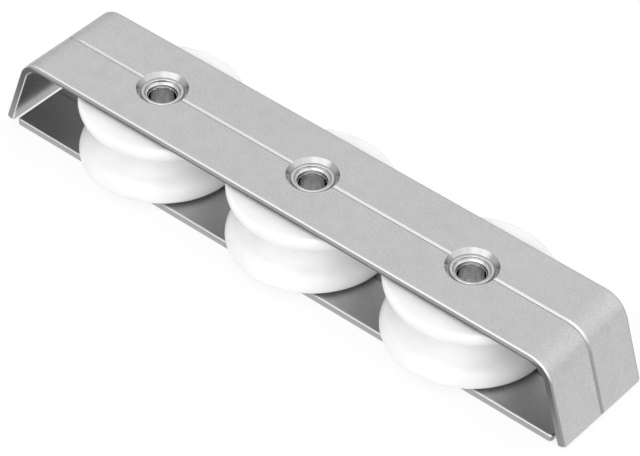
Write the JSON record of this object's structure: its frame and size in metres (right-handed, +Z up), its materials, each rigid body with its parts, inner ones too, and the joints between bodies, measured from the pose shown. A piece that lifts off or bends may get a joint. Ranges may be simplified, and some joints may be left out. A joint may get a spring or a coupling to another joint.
{
  "type": "deck organizer",
  "caption": "Low-profile deck organizer: plastic rope sheaves in a row on bushes between a bent aluminium cover with slanted legs and a flat base plate.",
  "frame": {"origin": "on the deck, under the middle of the base plate and of the middle sheave", "axes": "+X along the row of sheaves towards the right sheave, +Y across the strips, +Z up away from the deck, along the sheaves' axes"},
  "size_m": [0.175, 0.0414, 0.0225],
  "materials": {
    "anodised_aluminium": "satin anodised",
    "white_acetal": "smooth gloss",
    "stainless_steel": "turned and polished"
  },
  "bodies": {
    "frame": {"cover_plate": "anodised_aluminium", "base_plate": "anodised_aluminium", "left_bush": "stainless_steel", "middle_bush": "stainless_steel", "right_bush": "stainless_steel"},
    "left_sheave_body": {"left_sheave": "white_acetal"},
    "middle_sheave_body": {"middle_sheave": "white_acetal"},
    "right_sheave_body": {"right_sheave": "white_acetal"}
  },
  "joints": [
    {"name": "left_sheave_spin", "type": "hinge", "parent": "frame", "child": "left_sheave_body", "pos_m": [-0.048, 0, 0.01125], "axis": [0, 0, 1], "continuous": true},
    {"name": "middle_sheave_spin", "type": "hinge", "parent": "frame", "child": "middle_sheave_body", "pos_m": [0, 0, 0.01125], "axis": [0, 0, 1], "continuous": true},
    {"name": "right_sheave_spin", "type": "hinge", "parent": "frame", "child": "right_sheave_body", "pos_m": [0.048, 0, 0.01125], "axis": [0, 0, 1], "continuous": true}
  ]
}
